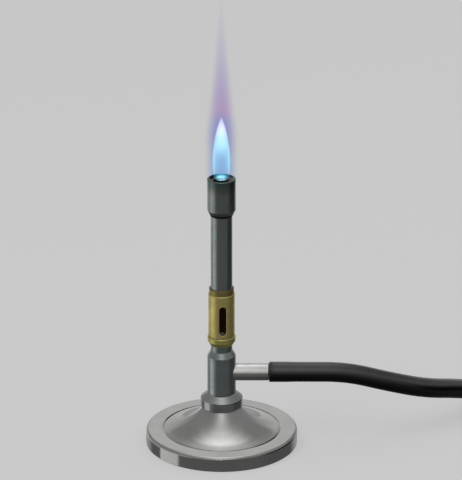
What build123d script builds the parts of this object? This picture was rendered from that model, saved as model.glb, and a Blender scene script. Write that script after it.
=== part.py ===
"""Bench gas burner and its hose.

It has a cast foot, a turned stem, a side inlet, a brass air sleeve, and a barrel with a pilot-ring flame head.
The origin is the centre of the foot on the bench, +Z runs up the barrel and the gas inlet points along +X.
All sizes are in millimetres.
"""

from build123d import *
import math
import os

os.makedirs("parts", exist_ok=True)

# ---- foot ----
FOOT_R = 40.0
FOOT_WALL_TOP = 8.1
FOOT_EDGE_FILLET = 1.4
FOOT_CHAMFER = 0.5
GROOVE_R = 31.0  # ring groove between the flat rim and the dome
GROOVE_HALF_WIDTH = 0.45
GROOVE_DEPTH = 0.7
DOME_FOOT_R = 30.2
DOME_FOOT_Z = 8.3
DOME_TOP_R = 10.0
DOME_TOP_Z = 20.7
DOME_ARC_R = 29.3
FOOT_SKIN = 3.3  # thickness of the casting under the dome
FOOT_RING_INNER_R = 35.5
FOOT_CEILING = 4.9
BOSS_R = 12.0
BOSS_BOTTOM = 7.6

# ---- screw and washers that hold the stem down ----
SCREW_R = 3.0
SCREW_HEAD_R = 5.0
SCREW_HEAD_BOTTOM = 1.8
SCREW_HEAD_TOP = 5.2
SCREW_TIP = 21.0
SCREW_SOCKET_AF = 4.0
SCREW_SOCKET_DEPTH = 2.0
SCREW_HEAD_FILLET = 1.0
SCREW_POINT = 0.6
SCREW_HOLE_SPARE = 3.0  # how far the tapped hole runs past the screw
SPRING_WASHER_TOP = 6.6
SPRING_WASHER_R = 5.2
SPRING_WASHER_GAP = 1.2
SPRING_WASHER_SLANT = 20.0  # degrees
FLAT_WASHER_R = 7.0
WASHER_BORE_R = 3.1

# ---- seat ring between the foot and the stem ----
SEAT_RING_R = 11.1
SEAT_RING_TOP = 28.4
SEAT_RING_TOP_R = 7.9  # radius where the cone starts
SEAT_RING_CONE_Z = 25.8
SEAT_RING_CHAMFER = 0.5

# ---- stem ----
SPIGOT_R = 5.0
SPIGOT_TIP = 9.8
STEM_R = 7.5
STEM_CONE_Z = 49.6
STEM_TOP = 52.5
STEM_TOP_R = 5.85
STEM_EDGE = 0.4
STEM_SHOULDER_FILLET = 0.5
SPIGOT_CHAMFER = 0.6
GAS_WELL_R = 2.2
GAS_WELL_BOTTOM = 37.4
JET_THREAD_R = 2.5
JET_THREAD_BOTTOM = 42.0
JET_SEAT = 46.0
BARREL_THREAD_R = 5.0
FIT = 0.03  # radial clearance of threads and sockets

# ---- gas inlet, along +X ----
INLET_Z = 39.9
INLET_R = 4.6
INLET_THREAD_R = 3.5
INLET_THREAD_END = 2.7
INLET_SEAT = 5.0
INLET_SEAL = 0.8
INLET_EDGE = 0.5
INLET_SHOULDER = 25.0  # where the hose stops
INLET_TIP = 38.5
INLET_BORE_R = 2.0
BARB_R = 3.75
BARB_VALLEY_R = 3.3
BARBS = 3
BARB_START = 1.5  # plain length between the shoulder and the first barb
BARB_STEP = 0.6

# ---- jet ----
JET_SEAL = 0.8
JET_FLANGE_R = 3.4
JET_HEX_AF = 6.0
JET_HEX_TOP = 49.6
JET_BODY_R = 2.6
JET_CONE_Z = 57.0
JET_TIP = 61.5
JET_TIP_R = 1.5
JET_BORE_R = 1.4
JET_ORIFICE_R = 0.45
JET_ORIFICE_LENGTH = 1.2
THREAD_SPARE = 0.5  # how far a tapped hole runs past the thread in it

# ---- barrel ----
BARREL_R = 5.65
BARREL_BORE_R = 4.5
BARREL_LOWER_BORE_R = 3.9
BARREL_BOTTOM = 46.2
BARREL_STEP_Z = 55.0
BARREL_STEP_CONE = 0.6
BARREL_TOP = 147.0
PORT_ANGLES = (-84.0, 36.0, 156.0)  # where the air ports look out, degrees from +X
PORT_WIDTH = 4.6
PORT_BOTTOM = 62.4
PORT_TOP = 79.7
PILOT_HOLE_R = 0.6
PILOT_HOLE_Z = 141.5
PILOT_HOLES = 6

# ---- stop collar and the ring that keeps the air sleeve on it ----
STOP_BOTTOM = 55.9
STOP_TOP = 60.8
STOP_R = 7.35
STOP_NECK_R = 6.0
STOP_CONE_TOP = 58.1
STOP_EDGE = 0.35
STOP_SHOULDER = 0.4
SNAP_BOTTOM = 83.0
SNAP_TOP = 83.8
SNAP_INNER_R = 5.25
SNAP_OUTER_R = 6.10
SNAP_GAP = 4.0

# ---- air sleeve ----
SLEEVE_R = 6.9
SLEEVE_BORE_R = 5.71
SLEEVE_BOTTOM = 60.9
SLEEVE_TOP = 87.9
SLEEVE_NECK_R = 6.5
SLEEVE_NECK_BOTTOM = 84.7
SLEEVE_EDGE = 0.3
SLEEVE_GROOVE_R = 6.17
SLEEVE_GROOVE_PLAY = 0.08
SLOT_WIDTH = 3.9
SLOT_BOTTOM = 62.8
SLOT_TOP = 79.2

# ---- flame head ----
HEAD_R = 7.4
HEAD_CONE_BOTTOM = 128.1
HEAD_CONE_TOP = 131.3
HEAD_TOP = 148.4
HEAD_CHAMFER = 0.35
HEAD_CHAMBER_R = 6.4
HEAD_CHAMBER_BOTTOM = 138.5
HEAD_CHAMBER_CONE = 0.7
HEAD_SKIRT_R = 5.95
PILOT_RING_BOTTOM = 144.0
PILOT_RING_TOP = 146.6
PILOT_SLOTS = 12
PILOT_SLOT_WIDTH = 1.0
PILOT_SLOT_DEPTH = 0.45

# ---- hose ----
HOSE_R = 5.25
HOSE_BORE_R = 3.5
CORNER_SPARE = 0.05  # what a rounded end stops short of a full half circle
# From the inlet it runs straight, sags, swings away from the front and comes down to the bench.
HOSE_ROUTE = [
    (25.0, 0.0, 39.9),
    (44.0, 0.0, 39.9),
    (66.0, 0.3, 39.7),
    (88.0, 3.9, 32.7),
    (108.0, 13.3, 24.8),
    (126.0, 31.0, 17.2),
    (141.0, 48.0, 8.6),
    (155.6, 65.5, 5.25),
]
ARC_SHARE = 0.45  # how much of the shorter run each arc may use
COIL_OUTER_TURN_R = 61.25
COIL_TURNS = 2
TIE_ANGLE = -35.0  # where the tie sits on the coil, degrees from +X
TIE_WIDTH = 9.0
TIE_THICKNESS = 1.1
TIE_PROUD = 0.7  # how far the tie stands out of the turns it pinches


def facing(angle, distance, height):
    """A plane square to the ray at an angle from +X, at a distance from the axis, with local y up."""
    turn = math.radians(angle)
    return Plane(
        origin=(distance * math.cos(turn), distance * math.sin(turn), height),
        x_dir=(-math.sin(turn), math.cos(turn), 0),
        z_dir=(math.cos(turn), math.sin(turn), 0),
    )


def save(piece, name):
    """Labels a finished piece and writes its STEP file."""
    piece.part.label = name
    export_step(piece.part, f"parts/{name}.step")


# ---- foot: a trumpet-shaped casting, hollow underneath, with a boss in the middle ----
dome_half_turn = math.asin(math.dist((DOME_TOP_R, DOME_TOP_Z), (DOME_FOOT_R, DOME_FOOT_Z)) / 2 / DOME_ARC_R)
dome_chord = math.atan2(DOME_TOP_Z - DOME_FOOT_Z, DOME_FOOT_R - DOME_TOP_R)
dome_rise = DOME_ARC_R * math.cos(dome_half_turn)
dome_centre_r = (DOME_TOP_R + DOME_FOOT_R) / 2 + dome_rise * math.sin(dome_chord)
dome_centre_z = (DOME_TOP_Z + DOME_FOOT_Z) / 2 + dome_rise * math.cos(dome_chord)


def under_dome(r, depth):
    """The point at radius r that lies the given depth below the dome's surface."""
    reach = DOME_ARC_R + depth
    return (r, dome_centre_z - math.sqrt(reach**2 - (dome_centre_r - r) ** 2))


with BuildPart() as base_casting:
    with BuildSketch(Plane.XZ):
        with BuildLine():
            RadiusArc((DOME_TOP_R, DOME_TOP_Z), (DOME_FOOT_R, DOME_FOOT_Z), -DOME_ARC_R)
            Polyline(
                (DOME_FOOT_R, DOME_FOOT_Z),
                (GROOVE_R - GROOVE_HALF_WIDTH, FOOT_WALL_TOP),
                (GROOVE_R - GROOVE_HALF_WIDTH / 2, FOOT_WALL_TOP - GROOVE_DEPTH),
                (GROOVE_R + GROOVE_HALF_WIDTH / 2, FOOT_WALL_TOP - GROOVE_DEPTH),
                (GROOVE_R + GROOVE_HALF_WIDTH, FOOT_WALL_TOP),
                (FOOT_R, FOOT_WALL_TOP),
                (FOOT_R, FOOT_CHAMFER),
                (FOOT_R - FOOT_CHAMFER, 0),
                (FOOT_RING_INNER_R, 0),
                (FOOT_RING_INNER_R, FOOT_CEILING),
                under_dome(DOME_FOOT_R, FOOT_SKIN),
            )
            RadiusArc(
                under_dome(DOME_FOOT_R, FOOT_SKIN), under_dome(BOSS_R, FOOT_SKIN), DOME_ARC_R + FOOT_SKIN
            )
            Polyline(
                under_dome(BOSS_R, FOOT_SKIN),
                (BOSS_R, BOSS_BOTTOM),
                (0, BOSS_BOTTOM),
                (0, DOME_TOP_Z),
                (DOME_TOP_R, DOME_TOP_Z),
            )
        make_face()
    revolve(axis=Axis.Z)
    rim_edge = base_casting.edges().filter_by(GeomType.CIRCLE).filter_by(
        lambda e: abs(e.radius - FOOT_R) < 0.01 and abs(e.center().Z - FOOT_WALL_TOP) < 0.01
    )
    fillet(rim_edge, FOOT_EDGE_FILLET)
    with BuildSketch(Plane.XY.offset(BOSS_BOTTOM)):
        Circle(SPIGOT_R + FIT)
    extrude(amount=DOME_TOP_Z - BOSS_BOTTOM, mode=Mode.SUBTRACT)
save(base_casting, "base_casting")

# ---- screw, spring washer and flat washer under the boss ----
with BuildPart() as base_screw:
    with BuildSketch(Plane.XY.offset(SCREW_HEAD_BOTTOM)):
        Circle(SCREW_HEAD_R)
    extrude(amount=SCREW_HEAD_TOP - SCREW_HEAD_BOTTOM)
    fillet(base_screw.edges().sort_by(Axis.Z)[0], SCREW_HEAD_FILLET)
    with BuildSketch(Plane.XY.offset(SCREW_HEAD_TOP)):
        Circle(SCREW_R)
    extrude(amount=SCREW_TIP - SCREW_HEAD_TOP)
    chamfer(base_screw.edges().sort_by(Axis.Z)[-1], SCREW_POINT)
    with BuildSketch(Plane.XY.offset(SCREW_HEAD_BOTTOM)):
        RegularPolygon(SCREW_SOCKET_AF / 2, 6, major_radius=False)
    extrude(amount=SCREW_SOCKET_DEPTH, mode=Mode.SUBTRACT)
save(base_screw, "base_screw")

with BuildPart() as spring_washer:
    with BuildSketch(Plane.XY.offset(SCREW_HEAD_TOP)):
        Circle(SPRING_WASHER_R)
        Circle(WASHER_BORE_R, mode=Mode.SUBTRACT)
        with Locations((0, SPRING_WASHER_R / 2)):
            Rectangle(SPRING_WASHER_GAP, SPRING_WASHER_R, rotation=SPRING_WASHER_SLANT, mode=Mode.SUBTRACT)
    extrude(amount=SPRING_WASHER_TOP - SCREW_HEAD_TOP)
save(spring_washer, "spring_washer")

with BuildPart() as flat_washer:
    with BuildSketch(Plane.XY.offset(SPRING_WASHER_TOP)):
        Circle(FLAT_WASHER_R)
        Circle(WASHER_BORE_R, mode=Mode.SUBTRACT)
    extrude(amount=BOSS_BOTTOM - SPRING_WASHER_TOP)
    chamfer(flat_washer.edges().filter_by(GeomType.CIRCLE).sort_by(SortBy.RADIUS)[-2:], 0.2)
save(flat_washer, "flat_washer")

# ---- seat ring: round, coned towards the stem, clamped between it and the foot ----
with BuildPart() as seat_ring:
    with BuildSketch(Plane.XZ):
        with BuildLine():
            Polyline(
                (SPIGOT_R + FIT, DOME_TOP_Z),
                (SEAT_RING_R - SEAT_RING_CHAMFER, DOME_TOP_Z),
                (SEAT_RING_R, DOME_TOP_Z + SEAT_RING_CHAMFER),
                (SEAT_RING_R, SEAT_RING_CONE_Z),
                (SEAT_RING_TOP_R, SEAT_RING_TOP),
                (SPIGOT_R + FIT, SEAT_RING_TOP),
                close=True,
            )
        make_face()
    revolve(axis=Axis.Z)
    fillet(
        seat_ring.edges().filter_by(GeomType.CIRCLE).filter_by(
            lambda e: abs(e.center().Z - SEAT_RING_CONE_Z) < 0.01
        ),
        SEAT_RING_CHAMFER,
    )
save(seat_ring, "seat_ring")

# ---- stem: spigot through the seat ring, gas chamber, sockets for the barrel, the jet and the inlet ----
with BuildPart() as stem_body:
    with BuildSketch(Plane.XZ):
        with BuildLine():
            Polyline(
                (0, SPIGOT_TIP),
                (SPIGOT_R - SPIGOT_CHAMFER, SPIGOT_TIP),
                (SPIGOT_R, SPIGOT_TIP + SPIGOT_CHAMFER),
                (SPIGOT_R, SEAT_RING_TOP),
                (STEM_R - STEM_EDGE, SEAT_RING_TOP),
                (STEM_R, SEAT_RING_TOP + STEM_EDGE),
                (STEM_R, STEM_CONE_Z),
                (STEM_TOP_R, STEM_TOP),
                (0, STEM_TOP),
                close=True,
            )
        make_face()
    revolve(axis=Axis.Z)
    fillet(
        stem_body.edges()
        .filter_by(GeomType.CIRCLE)
        .filter_by(lambda edge: abs(edge.center().Z - STEM_CONE_Z) < 0.01),
        STEM_SHOULDER_FILLET,
    )
    for radius, bottom, top in [
        (SCREW_R + FIT, SPIGOT_TIP, SCREW_TIP + SCREW_HOLE_SPARE),
        (GAS_WELL_R, GAS_WELL_BOTTOM, JET_SEAT),
        (JET_THREAD_R + FIT, JET_THREAD_BOTTOM - THREAD_SPARE, JET_SEAT),
        (BARREL_THREAD_R + FIT, JET_SEAT, STEM_TOP),
    ]:
        with BuildSketch(Plane.XY.offset(bottom)):
            Circle(radius)
        extrude(amount=top - bottom, mode=Mode.SUBTRACT)
    for radius, start, end in [
        (INLET_THREAD_R + FIT, INLET_THREAD_END - THREAD_SPARE, INLET_SEAT),
        (INLET_R + FIT, INLET_SEAT, 2 * STEM_R),
    ]:
        with BuildSketch(facing(0, start, INLET_Z)):
            Circle(radius)
        extrude(amount=end - start, mode=Mode.SUBTRACT)
save(stem_body, "stem_body")

# ---- gas inlet: threaded end, plain shank, barbed tail inside the hose ----
barb_length = (INLET_TIP - INLET_SHOULDER - BARB_START) / BARBS
with BuildPart() as inlet_nozzle:
    with BuildSketch(Plane.XZ):
        with BuildLine():
            barb_points = []
            for k in range(BARBS):
                barb_start = INLET_SHOULDER + BARB_START + k * barb_length
                barb_points += [
                    (barb_start, INLET_Z + BARB_VALLEY_R),
                    (barb_start + BARB_STEP, INLET_Z + BARB_R),
                ]
            Polyline(
                (INLET_THREAD_END, INLET_Z),
                (INLET_THREAD_END, INLET_Z + INLET_THREAD_R),
                (INLET_SEAT + INLET_SEAL, INLET_Z + INLET_THREAD_R),
                (INLET_SEAT + INLET_SEAL, INLET_Z + INLET_R),
                (INLET_SHOULDER - INLET_EDGE, INLET_Z + INLET_R),
                (INLET_SHOULDER, INLET_Z + INLET_R - INLET_EDGE),
                (INLET_SHOULDER, INLET_Z + BARB_VALLEY_R),
                *barb_points,
                (INLET_TIP, INLET_Z + BARB_VALLEY_R),
                (INLET_TIP, INLET_Z),
                close=True,
            )
        make_face()
    revolve(axis=Axis((0, 0, INLET_Z), (1, 0, 0)))
    with BuildSketch(facing(0, INLET_THREAD_END, INLET_Z)):
        Circle(INLET_BORE_R)
    extrude(amount=INLET_TIP - INLET_THREAD_END, mode=Mode.SUBTRACT)
save(inlet_nozzle, "inlet_nozzle")

with BuildPart() as inlet_seal:
    with BuildSketch(facing(0, INLET_SEAT, INLET_Z)):
        Circle(INLET_R)
        Circle(INLET_THREAD_R + FIT, mode=Mode.SUBTRACT)
    extrude(amount=INLET_SEAL)
save(inlet_seal, "inlet_seal")

# ---- jet and its seal ----
jet_flange_bottom = JET_SEAT + JET_SEAL
with BuildPart() as gas_jet:
    with BuildSketch(Plane.XZ):
        with BuildLine():
            Polyline(
                (0, JET_THREAD_BOTTOM),
                (JET_THREAD_R, JET_THREAD_BOTTOM),
                (JET_THREAD_R, jet_flange_bottom),
                (JET_BODY_R, jet_flange_bottom),
                (JET_BODY_R, JET_CONE_Z),
                (JET_TIP_R, JET_TIP),
                (0, JET_TIP),
                close=True,
            )
        make_face()
    revolve(axis=Axis.Z)
    with BuildSketch(Plane.XY.offset(jet_flange_bottom)):
        RegularPolygon(JET_HEX_AF / 2, 6, major_radius=False)
    extrude(amount=JET_HEX_TOP - jet_flange_bottom)
    with BuildSketch(Plane.XY.offset(JET_THREAD_BOTTOM)):
        Circle(JET_BORE_R)
    extrude(amount=JET_TIP - JET_ORIFICE_LENGTH - JET_THREAD_BOTTOM, mode=Mode.SUBTRACT)
    with BuildSketch(Plane.XY.offset(JET_TIP - JET_ORIFICE_LENGTH)):
        Circle(JET_ORIFICE_R)
    extrude(amount=JET_ORIFICE_LENGTH, mode=Mode.SUBTRACT)
save(gas_jet, "gas_jet")

with BuildPart() as jet_seal:
    with BuildSketch(Plane.XY.offset(JET_SEAT)):
        Circle(JET_FLANGE_R)
        Circle(JET_THREAD_R + FIT, mode=Mode.SUBTRACT)
    extrude(amount=JET_SEAL)
save(jet_seal, "jet_seal")

# ---- barrel: threaded foot, three air ports, groove for the snap ring, pilot holes under the head ----
with BuildPart() as barrel:
    with BuildSketch(Plane.XZ):
        with BuildLine():
            Polyline(
                (BARREL_LOWER_BORE_R, BARREL_BOTTOM),
                (BARREL_THREAD_R, BARREL_BOTTOM),
                (BARREL_THREAD_R, STEM_TOP),
                (BARREL_R, STEM_TOP),
                (BARREL_R, SNAP_BOTTOM),
                (SNAP_INNER_R, SNAP_BOTTOM),
                (SNAP_INNER_R, SNAP_TOP),
                (BARREL_R, SNAP_TOP),
                (BARREL_R, BARREL_TOP),
                (BARREL_BORE_R, BARREL_TOP),
                (BARREL_BORE_R, BARREL_STEP_Z + BARREL_STEP_CONE),
                (BARREL_LOWER_BORE_R, BARREL_STEP_Z),
                close=True,
            )
        make_face()
    revolve(axis=Axis.Z)
    for angle in PORT_ANGLES:
        with BuildSketch(facing(angle, BARREL_LOWER_BORE_R, (PORT_BOTTOM + PORT_TOP) / 2)):
            SlotOverall(PORT_TOP - PORT_BOTTOM, PORT_WIDTH, rotation=90)
        extrude(amount=BARREL_R, mode=Mode.SUBTRACT)
    for k in range(PILOT_HOLES):
        with BuildSketch(facing(360 / PILOT_HOLES * k, BARREL_LOWER_BORE_R, PILOT_HOLE_Z)):
            Circle(PILOT_HOLE_R)
        extrude(amount=BARREL_R - BARREL_LOWER_BORE_R, mode=Mode.SUBTRACT)
save(barrel, "barrel")

# ---- stop collar: the brass ring that the air sleeve stands on ----
with BuildPart() as stop_collar:
    with BuildSketch(Plane.XZ):
        with BuildLine():
            Polyline(
                (BARREL_R, STOP_BOTTOM),
                (STOP_NECK_R, STOP_BOTTOM),
                (STOP_R - STOP_EDGE, STOP_CONE_TOP - STOP_SHOULDER),
                (STOP_R, STOP_CONE_TOP),
                (STOP_R, STOP_TOP - STOP_EDGE),
                (STOP_R - STOP_EDGE, STOP_TOP),
                (BARREL_R, STOP_TOP),
                close=True,
            )
        make_face()
    revolve(axis=Axis.Z)
save(stop_collar, "stop_collar")

# ---- snap ring: open flat ring in the barrel's groove that holds the sleeve down and drags on it ----
with BuildPart() as snap_ring:
    with BuildSketch(Plane.XY.offset(SNAP_BOTTOM)):
        Circle(SNAP_OUTER_R)
        Circle(SNAP_INNER_R, mode=Mode.SUBTRACT)
        with Locations((-SNAP_OUTER_R, 0)):
            Rectangle(SNAP_OUTER_R, SNAP_GAP, mode=Mode.SUBTRACT)
    extrude(amount=SNAP_TOP - SNAP_BOTTOM)
save(snap_ring, "snap_ring")

# ---- air sleeve: turns on the barrel to open and close its ports ----
with BuildPart() as air_sleeve:
    with BuildSketch(Plane.XZ):
        with BuildLine():
            Polyline(
                (SLEEVE_BORE_R, SLEEVE_BOTTOM),
                (SLEEVE_R - SLEEVE_EDGE, SLEEVE_BOTTOM),
                (SLEEVE_R, SLEEVE_BOTTOM + SLEEVE_EDGE),
                (SLEEVE_R, SLEEVE_NECK_BOTTOM - SLEEVE_EDGE),
                (SLEEVE_NECK_R, SLEEVE_NECK_BOTTOM),
                (SLEEVE_NECK_R, SLEEVE_TOP - SLEEVE_EDGE),
                (SLEEVE_NECK_R - SLEEVE_EDGE, SLEEVE_TOP),
                (SLEEVE_BORE_R, SLEEVE_TOP),
                (SLEEVE_BORE_R, SNAP_TOP + SLEEVE_GROOVE_PLAY),
                (SLEEVE_GROOVE_R, SNAP_TOP + SLEEVE_GROOVE_PLAY),
                (SLEEVE_GROOVE_R, SNAP_BOTTOM - SLEEVE_GROOVE_PLAY),
                (SLEEVE_BORE_R, SNAP_BOTTOM - SLEEVE_GROOVE_PLAY),
                close=True,
            )
        make_face()
    revolve(axis=Axis.Z)
    for angle in PORT_ANGLES:
        with BuildSketch(facing(angle, BARREL_LOWER_BORE_R, (SLOT_BOTTOM + SLOT_TOP) / 2)):
            SlotOverall(SLOT_TOP - SLOT_BOTTOM, SLOT_WIDTH, rotation=90)
        extrude(amount=SLEEVE_R, mode=Mode.SUBTRACT)
save(air_sleeve, "air_sleeve")

# ---- flame head and the slotted pilot ring inside its mouth ----
with BuildPart() as flame_head:
    with BuildSketch(Plane.XZ):
        with BuildLine():
            Polyline(
                (BARREL_R, HEAD_CONE_BOTTOM),
                (HEAD_SKIRT_R, HEAD_CONE_BOTTOM),
                (HEAD_R, HEAD_CONE_TOP),
                (HEAD_R, HEAD_TOP - HEAD_CHAMFER),
                (HEAD_R - HEAD_CHAMFER, HEAD_TOP),
                (HEAD_CHAMBER_R + HEAD_CHAMFER / 2, HEAD_TOP),
                (HEAD_CHAMBER_R, HEAD_TOP - HEAD_CHAMFER / 2),
                (HEAD_CHAMBER_R, HEAD_CHAMBER_BOTTOM + HEAD_CHAMBER_CONE),
                (BARREL_R, HEAD_CHAMBER_BOTTOM),
                close=True,
            )
        make_face()
    revolve(axis=Axis.Z)
save(flame_head, "flame_head")

with BuildPart() as pilot_ring:
    with BuildSketch(Plane.XY.offset(PILOT_RING_BOTTOM)):
        Circle(HEAD_CHAMBER_R)
        Circle(BARREL_R, mode=Mode.SUBTRACT)
        with PolarLocations(HEAD_CHAMBER_R, PILOT_SLOTS):
            Rectangle(2 * PILOT_SLOT_DEPTH, PILOT_SLOT_WIDTH, mode=Mode.SUBTRACT)
    extrude(amount=PILOT_RING_TOP - PILOT_RING_BOTTOM)
save(pilot_ring, "pilot_ring")

# ---- hose: open tube from the inlet down to the bench ----
arc_radii = []
for before, point, after in zip(HOSE_ROUTE, HOSE_ROUTE[1:], HOSE_ROUTE[2:]):
    run_in = Vector(*point) - Vector(*before)
    run_out = Vector(*after) - Vector(*point)
    half_turn = math.radians(run_in.get_angle(run_out)) / 2
    arc_radii.append(ARC_SHARE * min(run_in.length, run_out.length) / math.tan(half_turn))
print("hose arc radii", [round(r, 1) for r in arc_radii])

with BuildPart() as gas_hose:
    with BuildLine() as hose_line:
        FilletPolyline(*HOSE_ROUTE, radius=arc_radii)
    with BuildSketch(Plane(origin=HOSE_ROUTE[0], z_dir=Vector(*HOSE_ROUTE[1]) - Vector(*HOSE_ROUTE[0]))):
        Circle(HOSE_R)
        Circle(HOSE_BORE_R, mode=Mode.SUBTRACT)
    sweep(path=hose_line.wire())
save(gas_hose, "gas_hose")
hose_section = math.pi * (HOSE_R**2 - HOSE_BORE_R**2)
hose_length = hose_line.wire().length
volume_ratio = gas_hose.part.volume / hose_section / hose_length
print("hose length", round(hose_length, 1), "volume over section times length", round(volume_ratio, 4))

# ---- coil: the rest of the hose, wound flat on the bench, turns side by side ----
heading = math.atan2(HOSE_ROUTE[-1][1] - HOSE_ROUTE[-2][1], HOSE_ROUTE[-1][0] - HOSE_ROUTE[-2][0])
coil_x = HOSE_ROUTE[-1][0] + COIL_OUTER_TURN_R * math.sin(heading)
coil_y = HOSE_ROUTE[-1][1] - COIL_OUTER_TURN_R * math.cos(heading)
coil_mean_r = COIL_OUTER_TURN_R - HOSE_R * (COIL_TURNS - 1)
coil_width = 2 * HOSE_R * COIL_TURNS
coiled_length = COIL_TURNS * math.tau * coil_mean_r
print("coil centre", round(coil_x, 1), round(coil_y, 1), "coiled length", round(coiled_length))


tie_turn = math.radians(TIE_ANGLE)
tie_plane = Plane(
    origin=(coil_x + coil_mean_r * math.cos(tie_turn), coil_y + coil_mean_r * math.sin(tie_turn), 0),
    x_dir=(math.cos(tie_turn), math.sin(tie_turn), 0),
    z_dir=(math.sin(tie_turn), -math.cos(tie_turn), 0),
)
with BuildPart() as hose_tie:
    for inset, mode in ((0, Mode.ADD), (TIE_THICKNESS, Mode.SUBTRACT)):
        tie_height = 2 * HOSE_R + TIE_PROUD - 2 * inset
        tie_span = coil_width + 2 * (TIE_PROUD - inset)
        with BuildSketch(tie_plane):
            with Locations((0, HOSE_R + TIE_PROUD / 2)):
                RectangleRounded(tie_span, tie_height, tie_height / 2 - CORNER_SPARE)
        extrude(amount=TIE_WIDTH / 2, both=True, mode=mode)
save(hose_tie, "hose_tie")

with BuildPart() as gas_hose_coil:
    with BuildSketch(Plane(origin=(coil_x, coil_y, 0), x_dir=(1, 0, 0), z_dir=(0, -1, 0))):
        with Locations((coil_mean_r, HOSE_R)):
            RectangleRounded(coil_width, 2 * HOSE_R, HOSE_R - CORNER_SPARE)
    revolve(axis=Axis((coil_x, coil_y, 0), (0, 0, 1)))
    add(hose_tie.part, mode=Mode.SUBTRACT)
save(gas_hose_coil, "gas_hose_coil")
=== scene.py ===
"""Looks of the bench gas burner: camera, studio, materials, hose and flame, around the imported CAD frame."""

import bmesh
import bpy
import math
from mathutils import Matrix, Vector


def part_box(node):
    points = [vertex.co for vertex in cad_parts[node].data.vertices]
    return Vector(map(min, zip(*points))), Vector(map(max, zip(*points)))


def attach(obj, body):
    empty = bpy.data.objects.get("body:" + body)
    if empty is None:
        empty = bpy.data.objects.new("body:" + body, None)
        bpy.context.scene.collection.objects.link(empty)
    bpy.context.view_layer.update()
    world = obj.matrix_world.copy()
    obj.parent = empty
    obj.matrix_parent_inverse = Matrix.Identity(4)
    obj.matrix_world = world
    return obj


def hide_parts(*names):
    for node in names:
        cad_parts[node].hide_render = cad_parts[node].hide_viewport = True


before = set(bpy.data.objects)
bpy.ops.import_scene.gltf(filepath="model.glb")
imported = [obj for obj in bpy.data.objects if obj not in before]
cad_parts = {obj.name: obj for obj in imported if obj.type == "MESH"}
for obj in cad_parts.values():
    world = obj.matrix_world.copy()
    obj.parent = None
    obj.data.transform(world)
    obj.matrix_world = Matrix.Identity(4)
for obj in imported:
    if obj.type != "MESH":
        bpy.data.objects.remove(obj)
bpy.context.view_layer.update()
MM = 0.001
MOUTH_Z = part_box("flame_head")[1][2]
SLEEVE_TOP_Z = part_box("air_sleeve")[1][2]

scene = bpy.context.scene
scene.view_settings.view_transform = "Standard"
scene.view_settings.look = "None"


# ---- camera: a long lens, 2 m away, looking down at the foot by about 24 degrees ----
CAMERA_PLACE = (4.95 * MM, -1829.9 * MM, 815.2 * MM)
CAMERA_TILT = math.radians(20.96)  # below level
SENSOR_HEIGHT = 24  # mm, as Blender's camera takes it
FOCAL_LENGTH = 188.5  # mm
VIEW_REACH = 100  # m, past the backdrop

camera_data = bpy.data.cameras.new("camera")
camera_data.sensor_fit = "VERTICAL"
camera_data.sensor_height = SENSOR_HEIGHT
camera_data.lens = FOCAL_LENGTH
camera_data.clip_end = VIEW_REACH
camera = bpy.data.objects.new("camera", camera_data)
camera.location = CAMERA_PLACE
camera.rotation_euler = (math.pi / 2 - CAMERA_TILT, 0, 0)
scene.collection.objects.link(camera)
scene.camera = camera


# ---- hose: one smooth line from the inlet to the bench, then two turns side by side ----
HOSE_R = 5.25 * MM
HOSE_BORE_R = 3.5 * MM
# the route's points and the coil's turns are in millimetres, as in the CAD
HOSE_ROUTE = [
    (25.0, 0.0, 39.9),
    (44.0, 0.0, 39.9),
    (66.0, 0.3, 39.7),
    (88.0, 3.9, 32.7),
    (108.0, 13.3, 24.8),
    (126.0, 31.0, 17.2),
    (141.0, 48.0, 8.6),
    (155.6, 65.5, 5.25),
]
OUTER_TURN_R = 61.25
INNER_TURN_R = 50.75
POINTS_PER_TURN = 18
# degrees round the coil from where the hose joins it
STEP_IN_START = 312  # the hose starts to move to the inner turn
STEP_IN_END = 366
COIL_END = 668


def smooth(t):
    """0 to 1 with level ends."""
    t = min(max(t, 0.0), 1.0)
    return t * t * (3 - 2 * t)


def coil_centre():
    """The middle of the coil, which the hose's last run on the bench joins without a corner."""
    (before_x, before_y, _), (x, y, _) = HOSE_ROUTE[-2:]
    heading = math.atan2(y - before_y, x - before_x)
    return x + OUTER_TURN_R * math.sin(heading), y - OUTER_TURN_R * math.cos(heading)


def coil_points():
    """Control points of the two turns, clockwise from the hose's last point on the bench."""
    centre_x, centre_y = coil_centre()
    joins_x, joins_y, height = HOSE_ROUTE[-1]
    start = math.atan2(joins_y - centre_y, joins_x - centre_x)
    step = 360 / POINTS_PER_TURN
    # a line of order 3 runs inside its control points, by the mean of its nearest and furthest places,
    # so the points stand out by this factor
    nearest = math.cos(math.radians(step / 2))
    furthest = 0.75 + 0.25 * math.cos(math.radians(step))
    outward = 2 / (nearest + furthest)
    points = []
    travelled = step
    while travelled < COIL_END + step / 2:
        inward = smooth((travelled - STEP_IN_START) / (STEP_IN_END - STEP_IN_START))
        radius = (OUTER_TURN_R + (INNER_TURN_R - OUTER_TURN_R) * inward) * outward
        angle = start - math.radians(travelled)
        points.append((centre_x + radius * math.cos(angle), centre_y + radius * math.sin(angle), height))
        travelled += step
    return points


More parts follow.
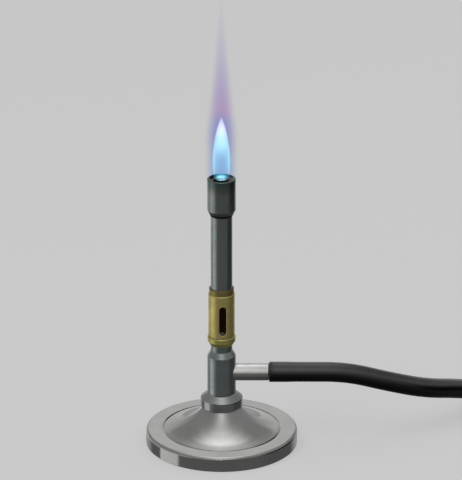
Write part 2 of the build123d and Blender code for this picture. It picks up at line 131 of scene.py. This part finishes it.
def nurbs_line(name, points):
    """The line of a NURBS curve of order 3 through its end points, as a list of points in metres."""
    curve = bpy.data.curves.new(name, "CURVE")
    curve.dimensions = "3D"
    spline = curve.splines.new("NURBS")
    spline.points.add(len(points) - 1)
    for control_point, point in zip(spline.points, points):
        control_point.co = (*[coordinate * MM for coordinate in point], 1)
    spline.order_u = 3
    spline.use_endpoint_u = True
    spline.resolution_u = 12
    holder = bpy.data.objects.new(name, curve)
    scene.collection.objects.link(holder)
    bpy.context.view_layer.update()
    line = bpy.data.meshes.new_from_object(holder)
    path = [vertex.co.copy() for vertex in line.vertices]
    bpy.data.objects.remove(holder)
    bpy.data.meshes.remove(line)
    return path


def thin_out(path, spacing):
    """The path with points closer than the spacing left out, keeping both ends."""
    kept = [path[0]]
    for point in path[1:-1]:
        if (point - kept[-1]).length >= spacing:
            kept.append(point)
    if (path[-1] - kept[-1]).length < spacing / 2:
        kept.pop()
    kept.append(path[-1])
    return kept


def frames_along(path):
    """The point, side and up direction for each path point, turning as little as possible."""
    tangents = []
    for k, point in enumerate(path):
        ahead = path[min(k + 1, len(path) - 1)]
        behind = path[max(k - 1, 0)]
        tangents.append((ahead - behind).normalized())
    side = tangents[0].cross(Vector((0, 0, 1))).normalized()
    frames = []
    for point, tangent in zip(path, tangents):
        side = (side - tangent * side.dot(tangent)).normalized()
        frames.append((point, side, side.cross(tangent).normalized()))
    return frames


def new_object(name, bm):
    """Turns a bmesh into a linked object."""
    bmesh.ops.recalc_face_normals(bm, faces=bm.faces)
    mesh = bpy.data.meshes.new(name)
    bm.to_mesh(mesh)
    bm.free()
    piece = bpy.data.objects.new(name, mesh)
    scene.collection.objects.link(piece)
    return piece


HOSE_SIDES = 32
RING_SPACING = 1.8 * MM
HOSE_EDGE = 0.3 * MM  # how far the edges of the cut ends are worn back
COIL_REACH = 90.0 * MM  # no part of the coil is further than this from its middle
TIE_ANGLE = math.radians(-35.0)  # round the coil's middle, from +X
TIE_REACH = 9.0 * MM  # along the hose, from the middle of the tie to where the squeeze ends
TIE_FADE = 4.5 * MM
TIE_SQUEEZE = 0.7 * MM
TIE_LIFT = 0.35 * MM
BARB_STRETCH = 0.13 * MM
BARB_END = 14.0 * MM  # along the hose, to where the inlet's barbs stop stretching it
BARB_FADE = BARB_END / 3


def tie_share(point):
    """How much the tie squeezes the hose at a point: 1 under the tie, 0 away from it."""
    around = point.xy - Vector(coil_centre()) * MM
    if around.length > COIL_REACH:
        return 0.0
    turn = math.atan2(around.y, around.x) - TIE_ANGLE
    turn = (turn + math.pi) % (2 * math.pi) - math.pi
    return smooth((TIE_REACH - abs(turn) * around.length) / TIE_FADE)


def with_worn_ends(path):
    """The path with a point just inside each of its ends."""
    first, last = path[0], path[-1]
    inside_first = first + (path[1] - first).normalized() * HOSE_EDGE
    inside_last = last + (path[-2] - last).normalized() * HOSE_EDGE
    return [first, inside_first] + path[1:-1] + [inside_last, last]


def ring_around(bm, middle, side, up, radius):
    """A ring of vertices round a point of the hose's line."""
    ring = []
    for k in range(HOSE_SIDES):
        turn = 2 * math.pi * k / HOSE_SIDES
        ring.append(bm.verts.new(middle + (side * math.cos(turn) + up * math.sin(turn)) * radius))
    return ring


def make_hose():
    """The gas hose, as a hollow tube with both ends open, and the NURBS line that it follows."""
    line = nurbs_line("gas_hose_line", HOSE_ROUTE + coil_points())
    path = with_worn_ends(thin_out(line, RING_SPACING))
    bm = bmesh.new()
    outer, bore = [], []
    travelled = 0.0
    previous = path[0]
    for point, side, up in frames_along(path):
        travelled += (point - previous).length
        previous = point
        squeeze = tie_share(point)
        stretch = BARB_STRETCH * smooth((BARB_END - travelled) / BARB_FADE)
        worn = HOSE_EDGE if point in (path[0], path[-1]) else 0.0
        middle = point + Vector((0, 0, TIE_LIFT * squeeze))
        outer.append(ring_around(bm, middle, side, up, HOSE_R + stretch - TIE_SQUEEZE * squeeze - worn))
        bore.append(ring_around(bm, middle, side, up, HOSE_BORE_R - TIE_SQUEEZE * squeeze + worn))
    # out along the outer wall, over the far end, back along the bore and over the near end
    rings = outer + bore[::-1]
    for near, far in zip(rings, rings[1:] + rings[:1]):
        is_cut_end = far in (outer[0], bore[-1])
        for k in range(HOSE_SIDES):
            face = bm.faces.new((near[k - 1], near[k], far[k], far[k - 1]))
            face.smooth = not is_cut_end
    return new_object("gas_hose_tube", bm), line


gas_hose, hose_path = make_hose()
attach(gas_hose, "burner")
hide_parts("gas_hose", "gas_hose_coil")


# ---- shader helper ----
class Shader:
    """A short way to write a node tree: add nodes, feed sockets with constants or links, and do sums."""

    def __init__(self, tree):
        self.tree = tree
        tree.nodes.clear()

    def add(self, kind, **settings):
        """A new node with these settings."""
        node = self.tree.nodes.new(kind)
        for name, value in settings.items():
            setattr(node, name, value)
        return node

    def feed(self, socket, value):
        """Gives a socket a constant, or links it to another socket."""
        if isinstance(value, bpy.types.NodeSocket):
            self.tree.links.new(value, socket)
        elif isinstance(value, tuple) and socket.type == "RGBA":
            socket.default_value = (*value, 1)
        else:
            socket.default_value = value

    def math(self, operation, a, b=0.0, c=0.0):
        """One sum; MULTIPLY_ADD gives a * b + c."""
        node = self.add("ShaderNodeMath", operation=operation)
        for socket, value in zip(node.inputs, (a, b, c)):
            self.feed(socket, value)
        return node.outputs[0]

    def ramp(self, value, low, high, to_low=0.0, to_high=1.0):
        """Maps a value between two levels to another range, smoothly, and holds it outside them."""
        if low > high:
            low, high, to_low, to_high = high, low, to_high, to_low
        node = self.add("ShaderNodeMapRange", interpolation_type="SMOOTHSTEP")
        self.feed(node.inputs["Value"], value)
        self.feed(node.inputs["From Min"], low)
        self.feed(node.inputs["From Max"], high)
        self.feed(node.inputs["To Min"], to_low)
        self.feed(node.inputs["To Max"], to_high)
        return node.outputs[0]

    def band(self, value, start, end, edge):
        """1 between start and end, with soft edges."""
        rise = self.ramp(value, start - edge, start + edge)
        return self.math("MULTIPLY", rise, self.ramp(value, end + edge, end - edge))

    def levels(self, value, stops):
        """A smooth curve through (place, level) stops; the places run from 0 to 1."""
        node = self.add("ShaderNodeValToRGB")
        node.color_ramp.interpolation = "EASE"
        elements = node.color_ramp.elements
        for place, level in stops[2:]:
            elements.new(place)
        # the levels wait until every place is set, since a stop that moves past another changes their order
        for element, (place, level) in zip(elements, stops):
            element.position = place
        for element, (place, level) in zip(elements, stops):
            element.color = (level, level, level, 1)
        self.feed(node.inputs[0], value)
        return node.outputs[0]

    def mix(self, share, a, b):
        """From colour a, where the share is 0, to colour b, where it is 1."""
        node = self.add("ShaderNodeMix", data_type="RGBA")
        # the sockets for colours are the inputs 6 and 7 and the output 2
        self.feed(node.inputs[0], share)
        self.feed(node.inputs[6], a)
        self.feed(node.inputs[7], b)
        return node.outputs[2]

    def place(self, scale=(1, 1, 1), turn=0.0):
        """Object coordinates, in metres, turned about +Z and then scaled."""
        where = self.add("ShaderNodeTexCoord")
        mapping = self.add("ShaderNodeMapping")
        mapping.inputs["Rotation"].default_value = (0, 0, turn)
        mapping.inputs["Scale"].default_value = scale
        self.feed(mapping.inputs["Vector"], where.outputs["Object"])
        return mapping.outputs[0]

    def split(self, vector):
        """The x, y and z of a vector."""
        node = self.add("ShaderNodeSeparateXYZ")
        self.feed(node.inputs[0], vector)
        return node.outputs

    def from_axis(self):
        """Distance from the burner's axis, and height, in metres."""
        x, y, z = self.split(self.place())
        squares = self.math("MULTIPLY_ADD", x, x, self.math("MULTIPLY", y, y))
        return self.math("SQRT", squares), z

    def noise(self, place, scale=1.0, detail=2.0, roughness=0.5):
        """Cloudy noise about 0.5; the scale is in clouds to a metre."""
        node = self.add("ShaderNodeTexNoise")
        self.feed(node.inputs["Vector"], place)
        self.feed(node.inputs["Scale"], scale)
        self.feed(node.inputs["Detail"], detail)
        self.feed(node.inputs["Roughness"], roughness)
        return node.outputs[0]

    def bump(self, height, strength, distance=0.3 * MM):
        """A surface direction that follows a fine relief."""
        node = self.add("ShaderNodeBump")
        self.feed(node.inputs["Strength"], strength)
        self.feed(node.inputs["Distance"], distance)
        self.feed(node.inputs["Height"], height)
        return node.outputs[0]


def material_tree(name, output_socket, shader_kind):
    """A new material whose output is fed by one shader node: the material, its Shader and that node."""
    material = bpy.data.materials.new(name)
    material.use_nodes = True
    shader = Shader(material.node_tree)
    source = shader.add(shader_kind)
    out = shader.add("ShaderNodeOutputMaterial")
    shader.feed(out.inputs[output_socket], source.outputs[0])
    return material, shader, source


# ---- studio: pale floor and backdrop ----
PALE = (0.573, 0.573, 0.573)
FLOOR_GLOW = 0.78  # the floor's own light; the rest of its paleness is lit, so it takes a faint shadow
FLOOR_ALBEDO = 0.9
BACKDROP_R = 6.0  # m
FLOOR_SINK = 0.2 * MM


def stage_material(name, glow):
    """An even pale surface: partly its own light, partly matt."""
    material, shader, both = material_tree(name, "Surface", "ShaderNodeAddShader")
    own = shader.add("ShaderNodeEmission")
    shader.feed(own.inputs["Color"], PALE)
    shader.feed(own.inputs["Strength"], glow)
    matt = shader.add("ShaderNodeBsdfDiffuse")
    grey = (1 - glow) * FLOOR_ALBEDO
    shader.feed(matt.inputs["Color"], (grey, grey, grey))
    shader.feed(both.inputs[0], own.outputs[0])
    shader.feed(both.inputs[1], matt.outputs[0])
    return material


def make_stage():
    """A round floor inside a large sphere, neither of them mirrored in the metal."""
    bm = bmesh.new()
    bmesh.ops.create_circle(bm, cap_ends=True, radius=BACKDROP_R, segments=96)
    floor = new_object("stage_floor", bm)
    floor.location.z = -FLOOR_SINK
    floor.data.materials.append(stage_material("stage_floor", FLOOR_GLOW))
    bm = bmesh.new()
    bmesh.ops.create_uvsphere(bm, u_segments=64, v_segments=32, radius=BACKDROP_R)
    backdrop = new_object("stage_backdrop", bm)
    backdrop.data.materials.append(stage_material("stage_backdrop", 1.0))
    backdrop.visible_diffuse = False
    for piece in (floor, backdrop):
        piece.visible_glossy = False
        piece.visible_shadow = False


make_stage()


# ---- light box that the metal mirrors ----
AMBIENT = 0.26  # from above the horizon, beside the strip light
LOW_AMBIENT = 0.115  # from below the horizon
FLOOR_AMBIENT = 0.06  # from straight below
# heights are from -1 straight down to 1 straight up
FLOOR_REACH = (-0.85, -0.5)
HORIZON_BLUR = (-0.06, 0.05)
# the pale back wall: its level, and from how far back it shows, where 1 is straight back
BACK_LEVEL = 0.34
BACK_REACH = (0.45, 0.85)
# the strip light's strength, and how far it reaches sideways, where 1 is straight sideways,
# from the front horizon (0) over the top (0.5) to the back horizon (1)
STRIP_LEVELS = [
    (0.0, 0.10),
    (0.24, 0.50),
    (0.42, 0.40),
    (0.54, 0.62),
    (0.67, 1.0),
    (0.74, 0.50),
    (0.80, 0.16),
    (0.87, 0.34),
    (1.0, 0.36),
]
STRIP_SPREADS = [
    (0.0, 0.34),
    (0.58, 0.32),
    (0.68, 0.22),
    (0.74, 0.15),
    (0.83, 0.15),
    (0.88, 0.34),
    (1.0, 0.32),
]
# low patches: where each starts and ends and its soft edge, in degrees round from the front towards +X;
# the same in height; and its level, or for the dark one the share of light that it takes away
PALE_PANEL = ((-165, -50, 9), (-0.37, 0.0, 0.03), 0.36)
BRIGHT_PANEL = ((-108, -70, 2), (-0.6, -0.36, 0.03), 0.52)
DARK_PANEL = ((66, 128, 12), (-0.38, 0.2, 0.05), 0.95)


def make_world():
    """A long strip light overhead, pale and bright panels low on the left and a dark one low on the right."""
    world = bpy.data.worlds.new("studio")
    scene.world = world
    world.use_nodes = True
    shader = Shader(world.node_tree)
    x, y, z = shader.split(shader.add("ShaderNodeTexCoord").outputs["Generated"])
    toward = shader.math("MULTIPLY", y, -1.0)
    over = shader.math("DIVIDE", shader.math("ARCTAN2", z, toward), math.pi)
    side = shader.math("MULTIPLY", shader.math("ARCTAN2", x, toward), 180 / math.pi)

    def patch(sides, heights, level):
        """A patch of the surroundings: its level inside, and 0 outside."""
        inside = shader.math("MULTIPLY", shader.band(side, *sides), shader.band(z, *heights))
        return shader.math("MULTIPLY", inside, level)

    across = shader.math("DIVIDE", x, shader.levels(over, STRIP_SPREADS))
    across = shader.math("MULTIPLY", shader.math("MULTIPLY", across, across), -1.0)
    strip = shader.levels(over, STRIP_LEVELS)
    upper = shader.math("MULTIPLY_ADD", shader.math("EXPONENT", across), strip, AMBIENT)

    panels = shader.math("ADD", patch(*PALE_PANEL), patch(*BRIGHT_PANEL))
    below = shader.ramp(z, *FLOOR_REACH, FLOOR_AMBIENT, LOW_AMBIENT)
    behind = shader.math("MULTIPLY", shader.ramp(y, *BACK_REACH), BACK_LEVEL)
    lower = shader.math("ADD", panels, shader.math("MAXIMUM", below, behind))

    light = shader.mix(shader.ramp(z, *HORIZON_BLUR), lower, upper)
    left_over = shader.math("SUBTRACT", 1.0, patch(*DARK_PANEL))
    light = shader.math("MULTIPLY", light, left_over)
    back = shader.add("ShaderNodeBackground")
    shader.feed(back.inputs["Color"], (1.0, 1.0, 1.0))
    shader.feed(back.inputs["Strength"], light)
    out = shader.add("ShaderNodeOutputWorld")
    shader.feed(out.inputs["Surface"], back.outputs[0])


make_world()


def lamp(name, kind, place, power, colour=(1, 1, 1), size=0.0, target=None):
    """A lamp that isn't mirrored in the metal; an area lamp is a disk that points at its target."""
    data = bpy.data.lights.new(name, kind)
    data.energy = power
    data.color = colour
    light = bpy.data.objects.new(name, data)
    light.location = place
    light.visible_glossy = False
    if kind == "AREA":
        data.shape = "DISK"
        data.size = size
        light.rotation_euler = (Vector(target) - Vector(place)).to_track_quat("-Z", "Y").to_euler()
    else:
        data.shadow_soft_size = size
    scene.collection.objects.link(light)


# places in metres, powers in watts
LAMP_TARGET = (0.03, 0.02, 0.05)
lamp("key", "AREA", (-0.9, -0.7, 1.4), 9, size=0.9, target=LAMP_TARGET)
lamp("fill", "AREA", (1.1, 0.4, 1.1), 4, size=1.2, target=LAMP_TARGET)


# ---- materials ----
def metal(
    name,
    colour,
    roughness,
    lines=(40, 40, 2600),
    line_depth=0.04,
    dull=0.82,
    smudge=0.10,
    metallic=1.0,
    crease_shade_colour=(0.03, 0.028, 0.024),
    crease_shade_reach=3 * MM,
    tint=None,
):
    """Plated or turned metal: fine turning lines, cloudy handling marks, and painted shade where pieces meet.

    lines is the scale of the noise that makes the turning lines, high along the direction that they cross.
    tint(shader, colour) may change the colour from place to place.
    """
    material, shader, surface = material_tree(name, "Surface", "ShaderNodeBsdfPrincipled")
    surface.inputs["Metallic"].default_value = metallic
    cloud = shader.noise(shader.place(), 95.0, 4.0, 0.6)
    fine = shader.noise(shader.place(), 620.0, 3.0, 0.55)
    turned = shader.noise(shader.place(lines), 1.0, 3.0, 0.6)
    dark = tuple(channel * dull for channel in colour)
    base = shader.mix(shader.ramp(cloud, 0.38, 0.68), colour, dark)
    base = shader.mix(shader.ramp(turned, 0.45, 0.75, 0.0, 0.4), base, dark)
    if tint:
        base = tint(shader, base)
    # painted shade: the colour darkens towards a shade colour where other surfaces lie close, in creases and
    # joins
    crease = shader.add("ShaderNodeAmbientOcclusion", samples=6)
    crease.inputs["Distance"].default_value = crease_shade_reach
    base = shader.mix(shader.ramp(crease.outputs["AO"], 0.25, 0.85), crease_shade_colour, base)
    shader.feed(surface.inputs["Base Color"], base)
    rough = shader.ramp(cloud, 0.3, 0.75, roughness - smudge * 0.4, roughness + smudge)
    shader.feed(surface.inputs["Roughness"], shader.math("MULTIPLY_ADD", fine, smudge * 0.5, rough))
    height = shader.math("MULTIPLY_ADD", fine, 0.3, turned)
    shader.feed(surface.inputs["Normal"], shader.bump(height, line_depth))
    return material


def painted_bore_shade(shader, colour):
    """Painted shade: dark brown inside the barrel."""
    from_axis, _ = shader.from_axis()
    return shader.mix(shader.ramp(from_axis, 5.55 * MM, 5.63 * MM), (0.05, 0.018, 0.007), colour)


def heat_tint_and_shaded_inside(shader, colour):
    """Straw and then blue temper colours towards the mouth, and soot with painted shade inside it."""
    from_axis, height = shader.from_axis()
    cloud = shader.noise(shader.place(), 160.0, 3.0, 0.6)
    uneven = shader.math("MULTIPLY_ADD", cloud, 6 * MM, height)
    straw = shader.ramp(uneven, MOUTH_Z - 6.9 * MM, MOUTH_Z - 1.4 * MM, 0.0, 0.4)
    blue = shader.ramp(uneven, MOUTH_Z - 4.4 * MM, MOUTH_Z + 2.1 * MM, 0.0, 0.7)
    heated = shader.mix(blue, shader.mix(straw, colour, (0.30, 0.28, 0.21)), (0.09, 0.18, 0.18))
    # soot and painted shade: near black inside the mouth
    return shader.mix(shader.ramp(from_axis, 6.4 * MM, 6.7 * MM), (0.05, 0.05, 0.05), heated)


def browner_neck_shaded_inside(shader, colour):
    """The stepped-down band at the top of the sleeve is browner, and the inside is painted dark brown as
    shade.
    """
    from_axis, height = shader.from_axis()
    neck = shader.ramp(height, SLEEVE_TOP_Z - 3.7 * MM, SLEEVE_TOP_Z - 3.0 * MM, 0.0, 0.55)
    browned = shader.mix(neck, colour, (0.20, 0.16, 0.07))
    # painted shade: dark brown inside the sleeve
    return shader.mix(shader.ramp(from_axis, 6.2 * MM, 6.6 * MM), (0.05, 0.03, 0.015), browned)


# how much lighter the rubber is painted, by how far it faces up: a painted highlight band with dust, most on
# its shoulders and weaker on the crown
HIGHLIGHT_AND_DUST_LEVELS = [
    (0.0, 0.0),
    (0.3, 0.05),
    (0.6, 1.0),
    (0.86, 0.4),
    (1.0, 0.25),
]
# in these gaps the coated rubber's gloss is also painted out as shade
GAP_REACH = 6 * MM  # surfaces of rubber nearer to each other than this make a matt gap


def rubber(name, colour, bloom_and_highlight, roughness, shine, coat=0.0):
    """Extruded rubber: a soft sheen, a painted highlight band with dust where it faces up, matt gaps, and
    painted shade that takes the gloss away underneath and in the gaps.
    """
    material, shader, surface = material_tree(name, "Surface", "ShaderNodeBsdfPrincipled")
    cloud = shader.noise(shader.place(), 70.0, 5.0, 0.6)
    fine = shader.noise(shader.place(), 900.0, 3.0, 0.6)
    facing_up = shader.split(shader.add("ShaderNodeNewGeometry").outputs["Normal"])[2]
    # painted highlight with dust: lighter where the rubber faces up, most on its shoulders
    highlight_and_dust = shader.levels(facing_up, HIGHLIGHT_AND_DUST_LEVELS)
    highlight_and_dust = shader.math("MULTIPLY", highlight_and_dust, shader.ramp(cloud, 0.2, 0.8, 0.6, 1.0))
    shader.feed(surface.inputs["Base Color"], shader.mix(highlight_and_dust, colour, bloom_and_highlight))
    rough = shader.ramp(cloud, 0.3, 0.7, roughness - 0.05, roughness + 0.08)
    rough = shader.math("MULTIPLY_ADD", fine, 0.06, rough)
    gap = shader.add("ShaderNodeAmbientOcclusion", samples=6)
    gap.inputs["Distance"].default_value = GAP_REACH
    shut = shader.ramp(gap.outputs["AO"], 0.8, 0.3)
    shader.feed(surface.inputs["Roughness"], shader.math("MAXIMUM", rough, shut))
    surface.inputs["Specular IOR Level"].default_value = shine
    if coat:
        # painted shade: the coat's gloss is taken away where the rubber faces down and in the gaps between
        # turns
        unshut = shader.math("SUBTRACT", 1.0, shut)
        gloss_after_painted_shade = shader.math("MULTIPLY", unshut, shader.ramp(facing_up, -0.3, 0.3))
        shader.feed(surface.inputs["Coat Weight"], shader.math("MULTIPLY", gloss_after_painted_shade, coat))
    surface.inputs["Coat Roughness"].default_value = roughness
    height = shader.math("MULTIPLY_ADD", cloud, 0.5, fine)
    shader.feed(surface.inputs["Normal"], shader.bump(height, 0.10))
    return material


WEAVE = 1.6 * MM  # from one rib to the next


def webbing(name, colour):
    """Woven strap: ribs across each other on every side of it."""
    material, shader, surface = material_tree(name, "Surface", "ShaderNodeBsdfPrincipled")
    along, across, up = shader.split(shader.place(turn=-TIE_ANGLE))
    wrap = shader.math("ADD", along, up)
    ribs = []
    for distance in (wrap, across):
        ribs.append(shader.math("SINE", shader.math("MULTIPLY", distance, 2 * math.pi / WEAVE)))
    weave = shader.math("MULTIPLY", *ribs)
    fluff = shader.noise(shader.place(), 1500.0, 4.0, 0.7)
    light = tuple(channel * 7 for channel in colour)
    tone = shader.math("MULTIPLY_ADD", fluff, 0.8, shader.ramp(weave, -0.8, 0.9, 0.0, 0.6))
    shader.feed(surface.inputs["Base Color"], shader.mix(shader.ramp(tone, 0.3, 1.1), colour, light))
    surface.inputs["Roughness"].default_value = 0.85
    surface.inputs["Sheen Weight"].default_value = 0.1
    height = shader.math("MULTIPLY_ADD", fluff, 0.5, weave)
    shader.feed(surface.inputs["Normal"], shader.bump(height, 0.5, 0.2 * MM))
    return material


foot_metal = metal(
    "foot_metal",
    (0.62, 0.62, 0.61),
    0.07,
    lines=(60, 60, 60),
    line_depth=0.008,
    dull=0.93,
    smudge=0.05,
    crease_shade_colour=(0.34, 0.34, 0.33),
)
ring_metal = metal("ring_metal", (0.56, 0.57, 0.57), 0.13, line_depth=0.02, smudge=0.06)
stem_metal = metal("stem_metal", (0.49, 0.53, 0.535), 0.20)
inlet_metal = metal("inlet_metal", (0.76, 0.76, 0.75), 0.16, lines=(2600, 40, 40), line_depth=0.02)
barrel_metal = metal(
    "barrel_metal",
    (0.45, 0.51, 0.48),
    0.21,
    line_depth=0.022,
    crease_shade_colour=(0.24, 0.27, 0.25),
    tint=painted_bore_shade,
)
head_metal = metal("head_metal", (0.40, 0.45, 0.43), 0.24, crease_shade_colour=(0.24, 0.27, 0.25), tint=heat_tint_and_shaded_inside)
pilot_metal = metal("pilot_metal", (0.16, 0.15, 0.14), 0.45)
sleeve_brass = metal("sleeve_brass", (0.95, 0.80, 0.28), 0.28, dull=0.78, metallic=0.9, tint=browner_neck_shaded_inside)
collar_brass = metal("collar_brass", (0.86, 0.78, 0.24), 0.27, dull=0.74, metallic=0.9)
# the jet sits deep inside the stem, so its painted shade reaches far and is nearly black
jet_brass = metal("jet_brass", (0.40, 0.30, 0.12), 0.45, crease_shade_colour=(0.02, 0.014, 0.007), crease_shade_reach=12 * MM)
screw_steel = metal("screw_steel", (0.55, 0.55, 0.55), 0.30)
spring_steel = metal("spring_steel", (0.33, 0.33, 0.35), 0.30)
fibre_seal = rubber("fibre_seal", (0.30, 0.09, 0.05), (0.36, 0.13, 0.08), 0.6, 0.3)
hose_rubber = rubber("hose_rubber", (0.001, 0.001, 0.001), (0.055, 0.055, 0.056), 0.25, 0.4, coat=0.9)
tie_fabric = webbing("tie_fabric", (0.012, 0.012, 0.013))

NODE_MATERIALS = {
    "base_casting": foot_metal,
    "base_screw": screw_steel,
    "spring_washer": screw_steel,
    "flat_washer": screw_steel,
    "seat_ring": ring_metal,
    "stem_body": stem_metal,
    "inlet_nozzle": inlet_metal,
    "inlet_seal": fibre_seal,
    "gas_jet": jet_brass,
    "jet_seal": fibre_seal,
    "barrel": barrel_metal,
    "stop_collar": collar_brass,
    "snap_ring": spring_steel,
    "air_sleeve": sleeve_brass,
    "flame_head": head_metal,
    "pilot_ring": pilot_metal,
    "hose_tie": tie_fabric,
}
gas_hose.data.materials.append(hose_rubber)
gas_hose.visible_glossy = False
for name, material in NODE_MATERIALS.items():
    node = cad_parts[name]
    node.data.materials.clear()
    node.data.materials.append(material)
    # the metal mirrors the studio alone, so that its highlights stay whole
    node.visible_glossy = False


# ---- flame: glowing gas above the mouth, part of the staging and not of the burner ----
OUTER_R = 9.8 * MM
OUTER_WAIST_Z = 172 * MM
OUTER_TIP_Z = 254 * MM
OUTER_DENSITY = 100.0  # per metre, where the level is 1
# how dense the outer gas is, from the mouth (0) to its tip (1)
OUTER_LEVELS = [
    (0.0, 0.66),
    (0.22, 0.68),
    (0.38, 0.56),
    (0.52, 0.46),
    (0.64, 0.36),
    (0.80, 0.30),
    (1.0, 0.26),
]
INNER_R = 4.8 * MM
INNER_TIP_Z = 182.5 * MM
INNER_TAPER = 2.8  # how late the cone narrows: 1 would be straight sides
INNER_GLOW = 105.0
TIP_GLOW = 1.9  # how many times brighter the cone ends at its tip
ROOT_GLOW = 3.2  # how many times brighter it starts, in the mouth
FLAME_SIDES = 40
FLAME_RINGS = 48


def outer_radius(z):
    """The outer gas keeps its width up to its waist, and then narrows straight to its tip."""
    return OUTER_R * min(1, (OUTER_TIP_Z - z) / (OUTER_TIP_Z - OUTER_WAIST_Z))


def inner_radius(z):
    """The inner cone is a little narrower at its root, and rounded towards its tip."""
    share = (z - MOUTH_Z) / (INNER_TIP_Z - MOUTH_Z)
    narrow_root = 1 - 0.2 * max(0, 1 - share / 0.3) ** 2
    return INNER_R * (1 - share**INNER_TAPER) * narrow_root


def gas_volume(name, radius_at, tip, material):
    """A closed surface of revolution that holds a volume material, seen by the camera alone."""
    bm = bmesh.new()
    rings = []
    for k in range(FLAME_RINGS):
        z = MOUTH_Z + (tip - MOUTH_Z) * k / FLAME_RINGS
        radius = radius_at(z)
        ring = []
        for j in range(FLAME_SIDES):
            turn = 2 * math.pi * j / FLAME_SIDES
            ring.append(bm.verts.new((radius * math.cos(turn), radius * math.sin(turn), z)))
        rings.append(ring)
    for low, high in zip(rings, rings[1:]):
        for j in range(FLAME_SIDES):
            bm.faces.new((low[j - 1], low[j], high[j], high[j - 1]))
    bm.faces.new(list(reversed(rings[0])))
    point = bm.verts.new((0, 0, tip))
    for j in range(FLAME_SIDES):
        bm.faces.new((rings[-1][j - 1], rings[-1][j], point))
    gas = new_object(name, bm)
    gas.data.materials.append(material)
    gas.visible_shadow = False
    gas.visible_diffuse = False
    gas.visible_glossy = False


def outer_gas():
    """Violet gas that darkens the backdrop a little, pinker half way up, and fades outwards and upwards."""
    material, shader, volume = material_tree("outer_gas", "Volume", "ShaderNodeVolumeAbsorption")
    from_axis, height = shader.from_axis()
    above = shader.math("SUBTRACT", height, MOUTH_Z)
    low = shader.mix(shader.ramp(above, 9.6 * MM, 21.6 * MM), (0.0, 0.34, 0.94), (0.02, 0.10, 0.88))
    middle = shader.mix(shader.ramp(above, 29.6 * MM, 37.6 * MM), low, (0.46, 0.0, 0.74))
    colour = shader.mix(shader.ramp(above, 39.6 * MM, 47.6 * MM), middle, (0.26, 0.0, 0.86))
    shader.feed(volume.inputs["Color"], colour)

    rise = shader.math("DIVIDE", above, OUTER_TIP_Z - MOUTH_Z)
    level = shader.levels(rise, OUTER_LEVELS)
    taper = shader.math("DIVIDE", shader.math("SUBTRACT", OUTER_TIP_Z, height), OUTER_TIP_Z - OUTER_WAIST_Z)
    radius = shader.math("MULTIPLY", shader.math("MINIMUM", taper, 1.0), OUTER_R)
    fade = shader.ramp(shader.math("DIVIDE", from_axis, radius), 1.0, 0.25)
    density = shader.math("MULTIPLY", shader.math("MULTIPLY", level, fade), OUTER_DENSITY)
    shader.feed(volume.inputs["Density"], density)
    return material


def inner_gas():
    """The pale blue cone: brightest at its tip, dimmer in its core, and bright at its root in the mouth."""
    material, shader, volume = material_tree("inner_gas", "Volume", "ShaderNodeEmission")
    from_axis, height = shader.from_axis()
    above = shader.math("SUBTRACT", height, MOUTH_Z)
    share = shader.math("DIVIDE", above, INNER_TIP_Z - MOUTH_Z)
    wide = shader.math("SUBTRACT", 1.0, shader.math("POWER", share, INNER_TAPER))
    radius = shader.math("MULTIPLY", wide, INNER_R)
    skin = shader.ramp(shader.math("DIVIDE", from_axis, radius), 0.6, 1.0, 0.0, 1.3)
    tip = shader.ramp(above, 9.1 * MM, 20.6 * MM)
    root = shader.ramp(above, 2.8 * MM, 0.2 * MM)
    root = shader.math("MULTIPLY", root, shader.ramp(from_axis, 4.0 * MM, 1.2 * MM))

    bluer = shader.mix(shader.ramp(above, 7.6 * MM, 21.6 * MM), (0.12, 0.70, 0.80), (0.56, 1.20, 0.84))
    whiter = shader.mix(shader.ramp(above, 19.6 * MM, 29.6 * MM), bluer, (1.0, 1.0, 0.95))
    shader.feed(volume.inputs["Color"], shader.mix(root, whiter, (0.55, 0.95, 1.0)))

    glow = shader.math("MAXIMUM", tip, skin)
    glow = shader.math("MAXIMUM", glow, shader.math("MULTIPLY", root, ROOT_GLOW))
    glow = shader.math("MULTIPLY", glow, shader.ramp(above, 19.6 * MM, 29.6 * MM, 1.0, TIP_GLOW))
    shader.feed(volume.inputs["Strength"], shader.math("MULTIPLY", glow, INNER_GLOW))
    return material


gas_volume("flame_outer", outer_radius, OUTER_TIP_Z, outer_gas())
gas_volume("flame_inner", inner_radius, INNER_TIP_Z, inner_gas())
lamp("flame_glow", "POINT", (0, 0, MOUTH_Z + 5 * MM), 0.02, colour=(0.35, 0.75, 1.0), size=3 * MM)
